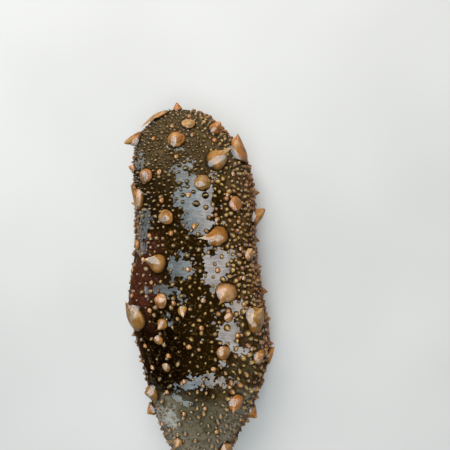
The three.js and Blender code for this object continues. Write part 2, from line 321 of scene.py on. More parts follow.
def relief(points):
    """How far the skin stands out from its plain shape, in millimetres."""
    height = sum(wave * lattice_noise(points / length, seed) for wave, length, seed in RELIEF_WAVES)
    for root, radius in zip(GROWTH_ROOTS, GROWTH_RADII):
        distance = np.linalg.norm(points - root, axis=-1) / (SWELLING_REACH * radius)
        height += SWELLING_HEIGHT * radius * np.exp(-distance ** 2)
    for place, radius, dip in ((MOUTH_PLACE, MOUTH_RADIUS, MOUTH_DIP), (VENT_PLACE, VENT_RADIUS, VENT_DIP)):
        distance = np.linalg.norm(points - place, axis=-1) / radius
        height -= dip * (1 - smooth(*DIP_EDGE, distance))
        height += LIP_HEIGHT * np.exp(-((distance - LIP_AT) / LIP_WIDTH) ** 2)
    return height - SKIN_DEPTH


def on_skin(along, angle):
    """Points and outward directions on the finished skin."""
    points = skin_point(along, angle)
    outward = skin_normal(along, angle)
    return points + outward * relief(points)[..., None], outward


def mesh_piece(name, points, faces, attributes=None, patch=None):
    """A mesh object from points in millimetres and groups of like faces, with a map for baking."""
    mesh = bpy.data.meshes.new(name)
    mesh.vertices.add(len(points))
    mesh.vertices.foreach_set("co", (np.asarray(points) * MM).astype(np.float32).ravel())
    corners = np.concatenate([group.ravel() for group in faces])
    totals = np.concatenate([np.full(len(group), group.shape[1]) for group in faces])
    starts = np.concatenate([[0], np.cumsum(totals)[:-1]])
    mesh.loops.add(len(corners))
    mesh.loops.foreach_set("vertex_index", corners.astype(np.int32))
    mesh.polygons.add(len(totals))
    mesh.polygons.foreach_set("loop_start", starts.astype(np.int32))
    mesh.update(calc_edges=True)
    mesh.validate()
    mesh.shade_smooth()
    for label, values in (attributes or {}).items():
        layer = mesh.attributes.new(label, "FLOAT", "POINT")
        layer.data.foreach_set("value", np.asarray(values, np.float32).ravel())
    if patch is not None:
        uv = mesh.uv_layers.new(name="OFBake")
        uv.data.foreach_set("uv", np.asarray(patch, np.float32)[corners].ravel())
    piece = bpy.data.objects.new(name, mesh)
    bpy.context.scene.collection.objects.link(piece)
    return piece


def grid_faces(rows, columns, first=0):
    """Quads between rows of points that each close on themselves."""
    row = np.arange(rows - 1)[:, None] * columns
    column = np.arange(columns)[None, :]
    after = (column + 1) % columns
    quads = np.stack([row + column, row + columns + column, row + columns + after, row + after], -1)
    return quads.reshape(-1, 4) + first


def fan_faces(tip, first, columns, turned=False):
    """Triangles from a tip to a closed row of points."""
    column = np.arange(columns)
    sides = [first + column, first + (column + 1) % columns]
    return np.stack([np.full(columns, tip)] + (sides[::-1] if turned else sides), -1)


def turns(count):
    """Even steps round a full turn."""
    return 2 * math.pi * np.arange(count) / count


def circle(turn):
    return np.stack([np.cos(turn), np.sin(turn)], -1)


# Standing water on the back, in the frame's millimetres: middle, half width and half length
POOLS = [
    (-8.9, 72.7, 2.8, 2.4),
    (6.7, 61.8, 2.4, 1.5),
    (-6.5, 64.7, 3.3, 3.0),
    (-4.2, 58.5, 5.7, 4.5),
    (0.1, 49.1, 8.5, 7.0),
    (1.0, 39.6, 8.5, 7.6),
    (-7.2, 15.6, 6.6, 7.4),
    (-11.6, 9.8, 4.6, 4.6),
    (-14.5, 5.2, 8.0, 3.8),
    (10.0, 16.5, 7.1, 10.9),
    (17.1, -3.9, 7.0, 4.3),
    (15.2, -14.7, 5.7, 9.0),
    (11.9, -30.3, 2.8, 2.8),
    (1.5, -40.2, 7.0, 1.9),
    (12.8, -38.4, 3.8, 2.6),
    (23.2, -25.6, 3.3, 1.9),
    (-16.0, -8.6, 2.4, 2.4),
    (-10.8, -50.0, 3.9, 2.9),
    (-14.8, -60.8, 3.9, 5.4),
    (-26.5, 34.8, 4.2, 11.0),
    (-30.5, 67.5, 3.6, 9.0),
]

# The depth given to points outside all pools, and how far from pimples distances are told apart
FAR_FROM_POOLS = -9.0
CLEAR_REACH = 3.0


def pool_depth(points):
    """How far inside the edge of standing water each point lies, negative outside it."""
    depth = np.full(len(points), FAR_FROM_POOLS)
    for across, forward, pool_half_width, pool_half_length in POOLS:
        step_across = (points[:, 0] - across) / pool_half_width
        step_forward = (points[:, 1] - forward) / pool_half_length
        inside = (1 - np.hypot(step_across, step_forward)) * min(pool_half_width, pool_half_length)
        depth = np.maximum(depth, inside)
    return depth


def clear_distance(points, pimple_roots, pimple_radii):
    """How far each point is from the edge of the nearest pimple or papilla, up to a limit."""
    clear = np.full(len(points), CLEAR_REACH)
    for root, radius in zip(GROWTH_ROOTS, GROWTH_RADII):
        clear = np.minimum(clear, np.linalg.norm(points - root, axis=1) - radius)
    tree = KDTree(len(pimple_roots))
    for index, root in enumerate(pimple_roots):
        tree.insert(root, index)
    tree.balance()
    for index, point in enumerate(points):
        _, nearest, distance = tree.find(point)
        clear[index] = min(clear[index], distance - pimple_radii[nearest])
    return clear


def build_skin(pimple_roots, pimple_radii):
    """One skin over the whole animal, closed by a point at each tip."""
    share = (np.arange(SKIN_ALONG) + 0.5) / SKIN_ALONG
    along = BODY_LENGTH * (1 - np.cos(math.pi * share)) / 2
    rows, columns = np.meshgrid(along, turns(SKIN_AROUND), indexing="ij")
    points, _ = on_skin(rows, columns)
    tips = np.stack([points[0].mean(0), points[-1].mean(0)])
    flat = np.concatenate([points.reshape(-1, 3), tips])
    head = fan_faces(len(flat) - 2, 0, SKIN_AROUND)
    tail = fan_faces(len(flat) - 1, (SKIN_ALONG - 1) * SKIN_AROUND, SKIN_AROUND, turned=True)
    faces = [grid_faces(SKIN_ALONG, SKIN_AROUND), head, tail]
    patch = np.stack([columns / (2 * math.pi), rows / BODY_LENGTH], -1).reshape(-1, 2)
    patch = np.concatenate([patch, [[0.5, 0], [0.5, 1]]])
    turn = np.minimum(columns, 2 * math.pi - columns).ravel() / math.pi
    attributes = {
        "turn": np.concatenate([turn, [0.5, 0.5]]),
        "pool": pool_depth(flat),
        "clear": clear_distance(flat, pimple_roots, pimple_radii),
    }
    skin = mesh_piece("skin", flat, faces, attributes, patch)
    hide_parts("head_end", "trunk_front", "trunk_middle", "trunk_rear", "tail_end")
    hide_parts("sole_front", "sole_rear")
    finish_piece(skin, skin_material())


# How large a papilla, a tube foot or a pimple is on the baking map
PATCH_SIZE = 0.0015
PIMPLE_PATCH_SIZE = 0.0011


def patch_at(along, side, spread):
    """A small patch of the baking map at a root's place on the skin."""
    centre = np.array([(side / 360) % 1, along / BODY_LENGTH])
    return centre + PATCH_SIZE * spread


# Water clings to the upper left of each papilla, and on the front half to its lower left
FILM_OFFSET = 0.24
FILM_TURNS_AT = 24
FILM_HALF_WIDTH = 0.37
FILM_HALF_LENGTH = 0.75
FILM_FOLLOWS_LEAN = 0.3


def film_inside(points, base, radius, lean):
    """How far inside its film of water each point of a papilla lies, negative outside it."""
    forward = FILM_OFFSET if base[1] < FILM_TURNS_AT else -FILM_OFFSET
    spot = base + FILM_FOLLOWS_LEAN * lean + radius * np.array([-FILM_OFFSET, forward, 0])
    reach = np.linalg.norm(lean)
    toward = lean / reach if reach > 0 else np.array([0.0, 1.0, 0.0])
    step = points - spot
    lengthwise = step[..., 0] * toward[0] + step[..., 1] * toward[1]
    sideways = step[..., 1] * toward[0] - step[..., 0] * toward[1]
    half_length = FILM_HALF_LENGTH * radius + FILM_FOLLOWS_LEAN * reach
    return 1 - np.hypot(lengthwise / half_length, sideways / (FILM_HALF_WIDTH * radius))


# The form of a papilla: how deep its root goes, how its rings crowd to the tip, its bulging foot, its
# lumps and creases as depth, how often around and along, and seed, and its fine folds
ROOT_SHARE = 0.45
RING_CROWDING = 0.85
FOOT_WIDTH, FOOT_BULGE, BULGE_LEVELS = 0.92, 0.14, 2.1
PAPILLA_LUMPS = ((0.22, 0.95, 0.09, 31), (0.08, 2.6, 0.15, 33))
FOLD_DEPTH, FOLD_TURNS, FOLDED_PART = 0.03, 5.2, (0.35, 0.7)


def papilla_points(growth, tint):
    """A cone with a bulging foot and a slender tip, bent toward its lean."""
    along, side, size, lean_right, lean_back, hue = growth
    radius, height, fullness, taper, facets_along, facets_around = SIZES[size]
    base, outward = on_skin(float(along), math.radians(side))
    axis = unit(outward)
    across = unit(np.cross([0, 0, 1], axis))
    other = np.cross(axis, across)
    root = ROOT_SHARE * radius
    levels = -root + (height + root) * np.linspace(0, 1, facets_along) ** RING_CROWDING
    share = np.clip(levels / height, 0, 1)
    bulge = FOOT_WIDTH + FOOT_BULGE * np.sin(np.pi * np.clip(share * BULGE_LEVELS, 0, 1))
    spread = radius * bulge * (1 - share ** fullness) ** taper
    turn = turns(facets_around)
    ring = np.cos(turn)[:, None] * across + np.sin(turn)[:, None] * other
    lean = np.array([lean_right, -lean_back, 0])
    bend = lean * (share ** LEAN_CURVE)[:, None]
    centre = base + axis * levels[:, None] + bend
    points = centre[:, None, :] + ring[None] * spread[:, None, None]
    height_steps = levels[:, None, None]
    uneven = sum(
        depth * lattice_noise(ring[None] * often_around + base + height_steps * often_up, seed)
        for depth, often_around, often_up, seed in PAPILLA_LUMPS
    )
    uneven = uneven + FOLD_DEPTH * np.sin(levels * FOLD_TURNS)[:, None] * smooth(*FOLDED_PART, share)[:, None]
    points += ring[None] * (spread[:, None] * uneven)[..., None]
    rise = np.broadcast_to(share[:, None], points.shape[:2])
    spiral = circle(turn)[None] * (1 - share)[:, None, None]
    attributes = {
        "rise": rise,
        "tint": np.full(rise.shape, tint),
        "hue": np.full(rise.shape, HUES[hue][0] + HUE_SPREAD * (tint - 0.5)),
        "around": np.broadcast_to(np.cos(turn)[None], rise.shape),
        "about": np.broadcast_to(np.sin(turn)[None], rise.shape),
        "film": film_inside(points, base, radius, lean),
    }
    return points, attributes, patch_at(along, side, spiral)


def join_rings(built):
    """Joins pieces that are stacks of rings, each closed by a point in the middle of its end rings."""
    points, patches, quads, fans = [], [], [], []
    attributes = {label: [] for label in built[0][1]}
    count = 0
    for ring_points, ring_attributes, ring_patch in built:
        rows, columns = ring_points.shape[:2]
        points += [ring_points.reshape(-1, 3), ring_points[[0, -1]].mean(1)]
        patches += [ring_patch.reshape(-1, 2), ring_patch[[0, -1], 0]]
        for label, values in ring_attributes.items():
            attributes[label] += [values.ravel(), values[[0, -1], 0]]
        low_tip = count + rows * columns
        quads.append(grid_faces(rows, columns, count)[:, ::-1])
        fans.append(fan_faces(low_tip, count, columns, turned=True))
        fans.append(fan_faces(low_tip + 1, low_tip - columns, columns))
        count += rows * columns + 2
    attributes = {label: np.concatenate(values) for label, values in attributes.items()}
    faces = [np.concatenate(quads), np.concatenate(fans)]
    return np.concatenate(points), faces, attributes, np.concatenate(patches)


def build_papillae():
    rng = np.random.default_rng(5)
    built = [papilla_points(one, rng.random()) for one in GROWTHS]
    piece = mesh_piece("papillae", *join_rings(built))
    finish_piece(piece, papilla_material())


# Pimples: how many places are tried, how far down the sides and how near the body's ends, how clear of
# papillae, and the cells in which neighbours are looked up
PIMPLE_TRIES = 36000
PIMPLE_SIDE = 128
PIMPLE_END_ROOM = 1.5
PIMPLE_CLEARANCE = 0.35
SEARCH_CELL = 5.0

# The room between pimples in millimetres: the plain room, the room on the dark rear of the back, and what
# other regions add to the plain room
PLAIN_ROOM, DARK_ROOM = 2.3, 3.5
HEAD_ROOM, LEFT_ROOM, TAIL_ROOM, REAR_RIGHT_ROOM = -0.35, 0.6, 0.9, 1.2
BARE_ROOM, SHADED_ROOM, POOL_ROOM = 2.6, 2.4, 2.2


def pimple_room(along, side, pool):
    """Pimples crowd at the head and on the right flank and are sparse on the dark rear of the back."""
    head = (1 - smooth(44, 62, along)) * (1 - smooth(6, 24, side))
    left = smooth(30, 50, along) * (1 - smooth(14, 26, side))
    tail = smooth(150, 165, along)
    rear_right = band((108, 120), (148, 160), along) * smooth(22, 32, side) * (1 - smooth(62, 74, side))
    dark = band((84, 100), (146, 160), along) * (1 - smooth(20, 36, side))
    bare = band((70, 80), (104, 112), along) * (1 - smooth(-56, -38, side))
    shaded = band((104, 116), (146, 158), along) * (1 - smooth(-22, 0, side))
    plain = PLAIN_ROOM + LEFT_ROOM * left + TAIL_ROOM * tail + REAR_RIGHT_ROOM * rear_right
    plain += HEAD_ROOM * head
    dry = plain + (DARK_ROOM - plain) * dark + BARE_ROOM * bare + SHADED_ROOM * shaded
    return dry + POOL_ROOM * smooth(0.5, 2.5, pool)


# How golden pimples are where they are dull, and how much more on the right and on the rear of the back
DULL_GLOW, ADDED_GLOW, REAR_GLOW_SHARE = 0.15, 0.85, 0.5


def pimple_glow(along, side):
    """Pimples are brightest on the right flank and dull at the left of the head and on the tail."""
    before_tail = 1 - smooth(148, 162, along)
    right = smooth(2, 26, side) * before_tail
    rear = smooth(70, 100, along) * before_tail * smooth(-40, -10, side)
    return DULL_GLOW + ADDED_GLOW * np.maximum(right, REAR_GLOW_SHARE * rear)


def scatter_pimples():
    """Places of pimples on the back and flanks, each clear of the others and of the papillae."""
    rng = np.random.default_rng(11)
    taken = {}
    found = []
    alongs = rng.uniform(PIMPLE_END_ROOM, BODY_LENGTH - PIMPLE_END_ROOM, PIMPLE_TRIES)
    sides = rng.uniform(-PIMPLE_SIDE, PIMPLE_SIDE, PIMPLE_TRIES)
    places = skin_point(alongs, np.radians(sides))
    for along, side, place, pool in zip(alongs, sides, places, pool_depth(places)):
        room = pimple_room(along, side, pool)
        key = tuple(int(v // SEARCH_CELL) for v in place)
        near = [
            other
            for step in np.ndindex(3, 3, 3)
            for other in taken.get(tuple(k + s - 1 for k, s in zip(key, step)), ())
        ]
        if near:
            other = np.array(near)
            gaps = np.linalg.norm(other[:, :3] - place, axis=1)
            if np.any(gaps < (np.minimum(room, other[:, 3]) + room) / 2):
                continue
        roots = np.linalg.norm(GROWTH_ROOTS - place, axis=1)
        if np.any(roots < GROWTH_RADII + PIMPLE_CLEARANCE):
            continue
        taken.setdefault(key, []).append((*place, room))
        found.append((along, side, room))
    return np.array(found)


# Sizes of pimples: their radius by the room they have, from least to most, larger at the right before
# the tail, and their height by their radius
RADIUS_BY_ROOM, MOST_ROOM = 0.35, 3.1
LEAST_RADIUS, RADIUS_VARIETY, FEW_LARGE = 0.62, 0.68, 1.5
LEFT_RADIUS, RIGHT_RADIUS_ADDED = 0.9, 0.45
PIMPLE_HEIGHTS = (0.75, 1.35)
PIMPLE_LEAN = 0.22
PIMPLE_SQUASHES = (0.68, 1.0)
NEARLY_ALONG = 0.9

# At the left of the head the pimples are drawn out across the body
DRAWN_ALONG, DRAWN_SIDE = 55, 12
DRAWN_WIDER, DRAWN_NARROWER, DRAWN_SPIN = 1.3, 0.33, 0.1


def shaped_pimples():
    """The place, direction, radius and height of each pimple."""
    found = scatter_pimples()
    rng = np.random.default_rng(12)
    count = len(found)
    along, side, room = found.T
    base, outward = on_skin(along, np.radians(side))
    variety = LEAST_RADIUS + RADIUS_VARIETY * rng.random(count) ** FEW_LARGE
    radius = RADIUS_BY_ROOM * np.minimum(room, MOST_ROOM) * variety
    radius *= LEFT_RADIUS + RIGHT_RADIUS_ADDED * smooth(8, 30, side) * (1 - smooth(146, 160, along))
    drawn_out = (along < DRAWN_ALONG) & (side < DRAWN_SIDE)
    radius = np.where(drawn_out, DRAWN_WIDER * radius, radius)
    height = radius * rng.uniform(*PIMPLE_HEIGHTS, count)
    helper = np.where(np.abs(outward[:, 1:2]) < NEARLY_ALONG, [[0, 1, 0]], [[1, 0, 0]])
    across = unit(np.cross(helper, outward))
    other = np.cross(outward, across)
    lean = across * rng.normal(0, PIMPLE_LEAN, (count, 1))
    lean = lean + other * rng.normal(0, PIMPLE_LEAN, (count, 1))
    tint = rng.random(count)
    squash = rng.uniform(*PIMPLE_SQUASHES, count)
    spin = rng.uniform(0, 2 * math.pi, count)
    spin = np.where(drawn_out, math.pi / 2 + DRAWN_SPIN * (spin - math.pi), spin)
    squash = np.where(drawn_out, squash - DRAWN_NARROWER, squash)
    roots = dict(along=along, side=side, base=base, outward=outward, across=across, other=other)
    forms = dict(lean=lean, radius=radius, height=height, squash=squash, spin=spin)
    return dict(roots, **forms, tint=tint, glow=pimple_glow(along, side))


# The mesh of a pimple: its rings as level and width, its uneven outline, and where the piece is split
PIMPLE_RINGS = ((-0.4, 1.5), (-0.02, 1.2), (0.4, 0.98), (0.75, 0.66), (0.95, 0.26))
PIMPLE_FACETS = 8
TWO_LOBES, THREE_LOBES, LOBE_VARIETY = 0.13, 0.08, 9
PIMPLE_SPLIT = 84


def build_pimples(name, pimples):
    """Small rounded points over a length of the back and flanks, joined in one piece."""
    count = len(pimples["along"])
    base, outward, lean = pimples["base"], pimples["outward"], pimples["lean"]
    tint, spin, height = pimples["tint"][:, None], pimples["spin"][:, None], pimples["height"][:, None]
    turn = turns(PIMPLE_FACETS)
    lobes = 1 + TWO_LOBES * np.sin(2 * turn + LOBE_VARIETY * tint)
    lobes += THREE_LOBES * np.sin(3 * turn + spin)
    narrow = lobes * np.cos(turn) * pimples["squash"][:, None]
    wide = lobes * np.sin(turn)
    swung = narrow * np.cos(spin) - wide * np.sin(spin)
    swayed = narrow * np.sin(spin) + wide * np.cos(spin)
    ring = swung[..., None] * pimples["across"][:, None] + swayed[..., None] * pimples["other"][:, None]
    rings, rises, flat = [], [], []
    for level, width in PIMPLE_RINGS:
        up = (outward + lean * max(level, 0)) * height * level
        rings.append((base + up)[:, None] + ring * (pimples["radius"] * width)[:, None, None])
        rises.append(np.full((count, PIMPLE_FACETS), max(level, 0)))
        flat.append(width * circle(turn))
    tip = base + (outward + lean) * height
    per = len(rings) * PIMPLE_FACETS + 1
    points = np.concatenate([np.stack(rings, 1).reshape(count, -1, 3), tip[:, None]], 1)
    rise = np.concatenate([np.stack(rises, 1).reshape(count, -1), np.ones((count, 1))], 1)
    attributes = {
        "rise": rise,
        "tint": np.repeat(pimples["tint"], per),
        "turn": np.repeat(np.abs(pimples["side"]) / 180, per),
        "glow": np.repeat(pimples["glow"], per),
    }
    quads = grid_faces(len(rings), PIMPLE_FACETS)[:, ::-1]
    cap = fan_faces(per - 1, (len(rings) - 1) * PIMPLE_FACETS, PIMPLE_FACETS)
    starts = (np.arange(count) * per)[:, None, None]
    faces = [(quads[None] + starts).reshape(-1, 4), (cap[None] + starts).reshape(-1, 3)]
    flat = np.concatenate(flat + [np.zeros((1, 2))])
    root = np.stack([(pimples["side"] / 360) % 1, pimples["along"] / BODY_LENGTH], -1)
    patch = root[:, None] + PIMPLE_PATCH_SIZE * flat[None]
    piece = mesh_piece(name, points.reshape(-1, 3), faces, attributes, patch.reshape(-1, 2))
    finish_piece(piece, pimple_material(name + "_skin"))


# Tube feet: three bands under the sole, each of several rows, and how unevenly the feet stand
FOOT_BANDS = (-17, 0, 17)
FOOT_ROWS = (-4.8, -1.6, 1.6, 4.8)
FOOT_SPACING = 4.4
FOOT_FIRST, FOOT_LAST = 22, 180
FOOT_SCATTER_ALONG, FOOT_SCATTER_ACROSS = 0.35, 0.3
FOOT_SCALES = (0.8, 1.1)
FOOT_SIDES = 14
FOOT_MAP_SPREAD = 1.5

# The rings of a tube foot: level from the floor to the skin, and radius
FOOT_PROFILE = (
    (0.0, 0.25),
    (0.0, 0.8),
    (0.03, 1.25),
    (0.12, 1.38),
    (0.28, 1.2),
    (0.5, 0.86),
    (0.75, 0.82),
    (1.0, 1.1),
    (1.2, 1.5),
)


def foot_points(along, across, tint, scale):
    """A short stalk from the skin down to a wide sucker on the floor."""
    length = float(bottom_height(along)) + SKIN_DEPTH
    ring = np.pad(circle(turns(FOOT_SIDES)), ((0, 0), (0, 1)))
    foot = np.array([centre_line(along) + across - MIDDLE_ACROSS, MIDDLE_ALONG - along, 0])
    levels = np.array([level for level, _ in FOOT_PROFILE])
    radii = np.array([radius for _, radius in FOOT_PROFILE])
    points = foot + ring[None] * (scale * radii)[:, None, None]
    points[..., 2] += (levels * length)[:, None]
    rise = np.broadcast_to(np.clip(1 - levels, 0, 1)[:, None], points.shape[:2])
    spread = ring[None, :, :2] * (1 - levels / 2)[:, None, None]
    patch = patch_at(along, 180 + across * FOOT_MAP_SPREAD, spread)
    return points, {"rise": rise, "tint": np.full(rise.shape, tint)}, patch


def build_tube_feet():
    rng = np.random.default_rng(21)
    built = []
    for band_across in FOOT_BANDS:
        for index, row in enumerate(FOOT_ROWS):
            shift = FOOT_SPACING / 2 if index % 2 else 0
            for start in np.arange(FOOT_FIRST + shift, FOOT_LAST, FOOT_SPACING):
                along = float(start + rng.normal(0, FOOT_SCATTER_ALONG))
                spread = float(half_width(along)) / REAR_HALF_WIDTH
                across = (band_across + row) * spread + rng.normal(0, FOOT_SCATTER_ACROSS)
                built.append(foot_points(along, across, rng.random(), rng.uniform(*FOOT_SCALES)))
    piece = mesh_piece("tube_feet", *join_rings(built))
    finish_piece(piece, foot_material())


# A puckered ring: its rows of points and where they start, its points for each fold, and the uneven
# course of the folds
RING_ROWS, RING_START = 46, 0.01
RING_POINTS_BY_FOLD = 12
FOLD_WANDER = 0.35

# Its profile from the middle (0) to the rim (1): where the folds begin and end, where the pit rises to
# the low dome, how the rim turns down into the skin, and how much of the baking map it takes
FOLDS_BEGIN, FOLDS_END = (0.08, 0.4), (0.86, 1.0)
PIT_EDGE = (0.06, 0.62)
DOME_HEIGHT, DOME_STRETCH = 0.5, (0.3, 1.0)
RIM_DEPTH, RIM_STRETCH = 0.9, (0.93, 1.0)
RING_THICKNESS = 1.6
RING_MAP, RING_BACK_MAP = 0.45, 0.49


def build_ring(name, place, outward, radius, pit, folds, fold_depth):
    """A puckered ring of folds round a pit, set in its dip of the skin."""
    sides = folds * RING_POINTS_BY_FOLD
    share = np.sin(np.linspace(RING_START, 1, RING_ROWS) * math.pi / 2)
    share_grid, turn_grid = np.meshgrid(share, turns(sides), indexing="ij")
    fold = np.abs(np.cos(folds * turn_grid / 2 + FOLD_WANDER * np.sin(3 * turn_grid)))
    strength = band(FOLDS_BEGIN, FOLDS_END, share_grid)
    dip = pit * (1 - smooth(*PIT_EDGE, share_grid))
    dome = DOME_HEIGHT * np.sin(math.pi * smooth(*DOME_STRETCH, share_grid))
    rim = RIM_DEPTH * smooth(*RIM_STRETCH, share_grid)
    height = dome - dip - fold_depth * (1 - fold) * strength - rim
    other = unit(np.cross(outward, [1.0, 0, 0]))
    across = np.cross(other, outward)
    flat = circle(turn_grid) * share_grid[..., None] * radius
    points = place + flat[..., :1] * across + flat[..., 1:] * other + height[..., None] * outward
    back = points[-1] - outward * RING_THICKNESS
    points = np.concatenate([points, back[None]])
    # The rise runs from the folds' grooves (0) to their ridges (1), which the lips' colour turns into painted
    # shade
    rise = np.concatenate([fold * strength + 0.5 * (1 - strength), np.zeros((1, sides))])
    patch = 0.5 + np.concatenate([RING_MAP * flat, RING_BACK_MAP * flat[-1:]]) / radius
    piece = mesh_piece(name, *join_rings([(points[::-1], {"rise": rise[::-1]}, patch[::-1])]))
    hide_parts(name)
    finish_piece(piece, lip_material(name + "_skin"))


def feed(node, inputs):
    """Sets inputs of a node, each given as a value or as a socket to link."""
    for key, value in inputs.items():
        if isinstance(value, bpy.types.NodeSocket):
            node.id_data.links.new(value, node.inputs[key])
        else:
            node.inputs[key].default_value = value


def add(near, kind, inputs=None, **settings):
    """A new node in the node tree of a socket near it."""
    node = near.id_data.nodes.new(kind)
    for key, value in settings.items():
        setattr(node, key, value)
    feed(node, inputs or {})
    return node


def new_material(name):
    """A material, its shader and the place on the object, in metres."""
    material = bpy.data.materials.new(name)
    material.use_nodes = True
    shader = material.node_tree.nodes["Principled BSDF"]
    return material, shader, add(shader, "ShaderNodeTexCoord").outputs["Object"]


def across_and_forward(place):
    return add(place, "ShaderNodeSeparateXYZ", {"Vector": place}).outputs[:2]


def attribute(near, name):
    return add(near, "ShaderNodeAttribute", attribute_name=name).outputs["Fac"]


def noise(place, scale, detail=3.0, rough=0.55):
    inputs = {"Vector": place, "Scale": scale, "Detail": detail, "Roughness": rough}
    return add(place, "ShaderNodeTexNoise", inputs).outputs["Fac"]


def ranged(value, low, high, to_low=0.0, to_high=1.0):
    """Maps a value from a range, smoothly and clamped."""
    inputs = {"Value": value, "From Min": low, "From Max": high, "To Min": to_low, "To Max": to_high}
    return add(value, "ShaderNodeMapRange", inputs, interpolation_type="SMOOTHSTEP").outputs["Result"]


def calculated(operation, first, second):
    near = first if isinstance(first, bpy.types.NodeSocket) else second
    return add(near, "ShaderNodeMath", {0: first, 1: second}, operation=operation).outputs[0]


def product(first, *others):
    for other in others:
        first = calculated("MULTIPLY", first, other)
    return first


def total(first, second):
    return calculated("ADD", first, second)


def difference(first, second):
    return calculated("SUBTRACT", first, second)


def larger(first, second):
    return calculated("MAXIMUM", first, second)


def swing(level, size):
    """Noise made to swing round zero by a size."""
    return product(difference(level, 0.5), size)


def vector(operation, inputs):
    near = inputs[0] if isinstance(inputs[0], bpy.types.NodeSocket) else inputs["Scale"]
    return add(near, "ShaderNodeVectorMath", inputs, operation=operation).outputs[0]


def mixed(factor, first, second):
    """Two colours mixed: all the first at 0, all the second at 1."""
    return add(factor, "ShaderNodeMix", {0: factor, 6: first, 7: second}, data_type="RGBA").outputs[2]


def colour_ramp(factor, stops):
    node = add(factor, "ShaderNodeValToRGB", {"Fac": factor})
    ramp = node.color_ramp
    while len(ramp.elements) < len(stops):
        ramp.elements.new(0.5)
    for element, (position, colour) in zip(ramp.elements, stops):
        element.position = position
        element.color = colour
    return node.outputs["Color"]


def bump(height, strength, distance, normal=None):
    inputs = {"Height": height, "Strength": strength, "Distance": distance}
    if normal is not None:
        inputs["Normal"] = normal
    return add(height, "ShaderNodeBump", inputs).outputs["Normal"]


def levelled(share):
    """The surface of thick water, which lies flatter than the skin under it."""
    skin = add(share, "ShaderNodeNewGeometry").outputs["Normal"]
    kept = vector("SCALE", {0: skin, "Scale": difference(1.0, share)})
    raised = vector("SCALE", {0: (0, 0, 1), "Scale": share})
    return vector("NORMALIZE", {0: vector("ADD", {0: kept, 1: raised})})


COAT_IOR = 1.5


def wet(shader, roughness, coat_roughness, specular, coat_weight=1.0):
    """Soft skin under a thin film of water."""
    shader.inputs["Roughness"].default_value = roughness
    shader.inputs["Specular IOR Level"].default_value = specular
    shader.inputs["Coat Weight"].default_value = coat_weight
    shader.inputs["Coat Roughness"].default_value = coat_roughness
    shader.inputs["Coat IOR"].default_value = COAT_IOR


# Colours of the skin, linear
BLACK_BROWN = (0.0068, 0.0033, 0.0007, 1)
OLIVE = (0.045, 0.032, 0.0160, 1)
SPECK_OLIVE = (0.080, 0.047, 0.011, 1)
GOLD_OLIVE = (0.064, 0.034, 0.011, 1)
DARK_GREEN = (0.040, 0.030, 0.013, 1)
# The painted shadow at the left of the rear of the back
PAINTED_SHADOW_BLACK = (0.0018, 0.0008, 0.0003, 1)
BROWN_SHADE = (0.024, 0.0125, 0.0045, 1)
RED_BROWN = (0.032, 0.0085, 0.0055, 1)
GREY_GREEN = (0.060, 0.053, 0.034, 1)
FLANK_BROWN = (0.125, 0.050, 0.021, 1)
FLANK_DARK = (0.036, 0.017, 0.008, 1)
PEARL_GREY = (0.138, 0.119, 0.088, 1)
OCHRE = (0.17, 0.095, 0.040, 1)

# Regions of the skin, each from where it begins to where it is full. Forward and across are metres in
# the frame, and the turn goes from 0 on the back to 1 on the sole
HEAD_FORWARD = (0.045, 0.078)
TAIL_FORWARD = (-0.042, -0.056)
LOW_TAIL_FORWARD, LOW_TAIL_SHARE = (-0.062, -0.084), 0.85
TAIL_RIM_TURN = (0.06, 0.24)
RIGHT_ACROSS = (0.006, 0.022)
GREENER_FORWARD = (-0.008, -0.018)
RED_ACROSS = (-0.016, -0.026)
RED_FROM_REAR, RED_FROM_FRONT = (-0.022, -0.006), (0.034, 0.018)
# Where the painted shadow lies, at the left of the rear of the back
SHADED_ACROSS, SHADED_FORWARD = (0.002, -0.014), (0.006, -0.008)
FLANK_TURN, SOLE_TURN = (0.26, 0.46), (0.56, 0.70)
PLAINER_ACROSS = (0.016, 0.002)
PLAINER_FROM_FRONT, PLAINER_FROM_REAR = (0.060, 0.040), (-0.056, -0.042)

# How far the regions' edges wander, in metres and as a turn. Close to a pimple or papilla the skin is
# darkened by
# painted shade: from how far out, in millimetres, and by what share
EDGE_WANDER, TURN_WANDER = 0.030, 0.32
SHADE_BY_PIMPLE, SHADE_SHARE = (0.9, 0.0), 0.7


def back_colour(place, across, forward):
    """Black-brown along the middle with a painted shadow at the left of the rear, gold and green at the
    right, red at the left and olive on the head.
    """
    # Painted shadow: the left of the rear of the back turns deeper black
    shaded = product(ranged(across, *SHADED_ACROSS), ranged(forward, *SHADED_FORWARD))
    colour = mixed(shaded, BLACK_BROWN, PAINTED_SHADOW_BLACK)
    right = mixed(ranged(forward, *GREENER_FORWARD), GOLD_OLIVE, DARK_GREEN)
    right = mixed(ranged(noise(place, 210), 0.44, 0.60), right, BROWN_SHADE)
    colour = mixed(ranged(across, *RIGHT_ACROSS), colour, right)
    red = product(ranged(forward, *RED_FROM_REAR), ranged(forward, *RED_FROM_FRONT))
    colour = mixed(product(ranged(across, *RED_ACROSS), red), colour, RED_BROWN)
    return mixed(ranged(forward, *HEAD_FORWARD), colour, OLIVE)


